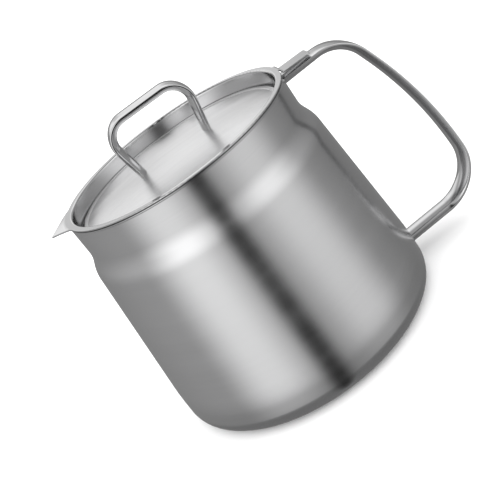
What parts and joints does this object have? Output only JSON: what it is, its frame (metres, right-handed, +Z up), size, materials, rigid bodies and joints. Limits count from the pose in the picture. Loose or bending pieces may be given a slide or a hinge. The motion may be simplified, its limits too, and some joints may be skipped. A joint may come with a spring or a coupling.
{
  "type": "grease container",
  "caption": "Stainless steel pot with a stepped shoulder and a bent strap handle, a drop-in mesh strainer with a pouring beak, and a domed lid, for straining and keeping cooking fat.",
  "frame": {"origin": "centre of the flat base, on the pot's axis", "axes": "+Z up along the pot's axis, +X towards the handle, -X towards the pouring beak"},
  "size_m": [0.1906, 0.1434, 0.15],
  "materials": {
    "pot_steel": "satin polished stainless steel",
    "strap_steel": "polished stainless strap, fine brush lines along its length",
    "sheet_steel": "satin stainless sheet, brushed round the axis",
    "wire_cloth": "woven stainless wire"
  },
  "bodies": {
    "pot": {"pot_body": "pot_steel", "pot_handle": "strap_steel"},
    "strainer": {"strainer_pan": "sheet_steel", "strainer_mesh": "wire_cloth", "mesh_ring": "sheet_steel"},
    "lid": {"lid_plate": "sheet_steel", "lid_handle": "strap_steel"}
  },
  "joints": [
    {"name": "strainer_lift", "type": "slide", "parent": "pot", "child": "strainer", "axis": [0, 0, 1], "range_m": [0, 0.055]},
    {"name": "lid_lift", "type": "slide", "parent": "strainer", "child": "lid", "axis": [0, 0, 1], "range_m": [0, 0.045]}
  ]
}
